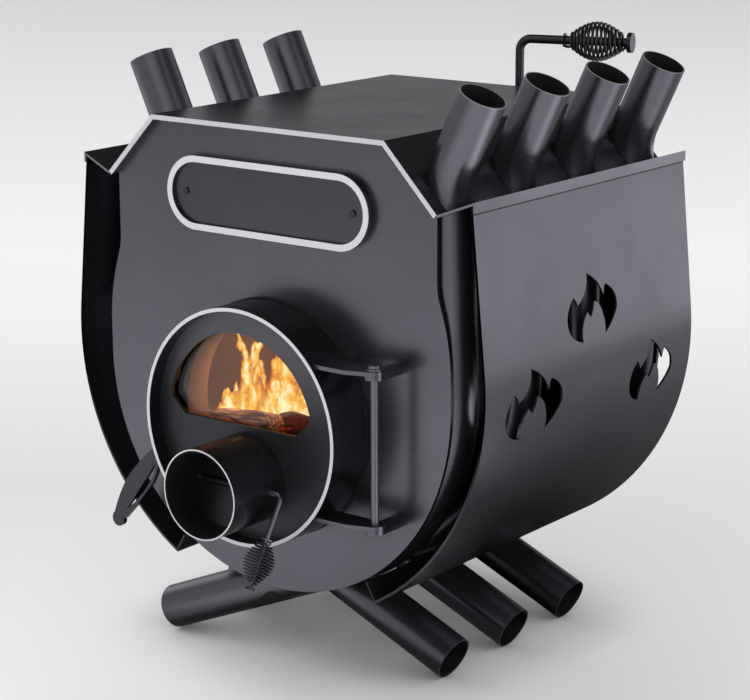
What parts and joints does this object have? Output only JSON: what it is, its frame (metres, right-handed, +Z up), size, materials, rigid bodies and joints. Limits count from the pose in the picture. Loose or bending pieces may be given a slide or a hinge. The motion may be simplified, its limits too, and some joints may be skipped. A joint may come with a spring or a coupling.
{
  "type": "convection wood stove",
  "caption": "Steel wood stove wrapped in bent convection tubes, with sheet side casings, a flat hob, a round glazed door with air intake, and a rear flue spigot.",
  "frame": {"origin": "middle of the stove's footprint on the floor, at the lowest points of the tubes' lower ends", "axes": "+Z up, -Y towards the door, +X to the right seen from the front, where the door's hinge is"},
  "size_m": [0.64, 0.728, 0.7684],
  "materials": {
    "stove_paint": "satin heat-proof paint",
    "firebox_steel": "matt, sooty",
    "bright_steel": "bare, slightly dulled",
    "polished_rim": "bright",
    "blackened_steel": "blackened, semi-matt",
    "stove_glass": "clear heat-proof pane",
    "glass_fibre_tape": "flat woven tape",
    "rope_seal": "dark braided rope"
  },
  "bodies": {
    "stove": {"convection_tube_1": "stove_paint", "convection_tube_2": "stove_paint", "convection_tube_3": "stove_paint", "convection_tube_4": "stove_paint", "convection_tube_5": "stove_paint", "convection_tube_6": "stove_paint", "convection_tube_7": "stove_paint", "firebox_shell": "firebox_steel", "face_plate": "stove_paint", "back_plate": "stove_paint", "hob_plate": "stove_paint", "roof_slope_left": "stove_paint", "roof_slope_right": "stove_paint", "gutter_shelf_left": "stove_paint", "gutter_shelf_right": "stove_paint", "casing_left": "stove_paint", "casing_right": "stove_paint", "casing_strip_left": "stove_paint", "casing_strip_right": "stove_paint", "baffle_plate": "firebox_steel", "door_collar": "firebox_steel", "rope_seal": "rope_seal", "hinge_lugs": "stove_paint", "hinge_rod": "bright_steel", "hinge_washer": "bright_steel", "latch_keeper": "stove_paint", "flue_spigot": "stove_paint", "damper_bosses": "blackened_steel", "nameplate": "stove_paint", "nameplate_rim": "polished_rim", "nameplate_screws": "bright_steel"},
    "door": {"door_ring": "stove_paint", "door_plate": "stove_paint", "window_glass": "stove_glass", "window_gasket": "glass_fibre_tape", "window_clips": "bright_steel", "clip_screws": "bright_steel", "intake_pipe": "stove_paint", "throttle_bosses": "blackened_steel", "hinge_arms": "stove_paint", "latch_boss": "stove_paint"},
    "throttle": {"throttle_disc": "blackened_steel", "throttle_lever": "bright_steel", "throttle_spring": "blackened_steel", "throttle_cap": "bright_steel"},
    "latch": {"latch_shaft": "bright_steel", "latch_handle": "blackened_steel", "latch_cam": "blackened_steel"},
    "damper": {"damper_disc": "blackened_steel", "damper_lever": "bright_steel", "damper_spring": "blackened_steel", "damper_cap": "bright_steel"}
  },
  "joints": [
    {"name": "door_hinge", "type": "hinge", "parent": "stove", "child": "door", "pos_m": [0.187, -0.2645, 0.327], "axis": [0, 0, 1], "range_deg": [0, 120]},
    {"name": "latch_turn", "type": "hinge", "parent": "door", "child": "latch", "pos_m": [-0.15, -0.257, 0.274], "axis": [0, 1, 0], "range_deg": [-36, 40]},
    {"name": "throttle_turn", "type": "hinge", "parent": "door", "child": "throttle", "pos_m": [0, -0.3055, 0.261], "axis": [1, 0, 0], "range_deg": [-60, 19]},
    {"name": "damper_turn", "type": "hinge", "parent": "stove", "child": "damper", "pos_m": [0, 0.306, 0.581], "axis": [0, 0, 1], "range_deg": [-105, 0]}
  ]
}
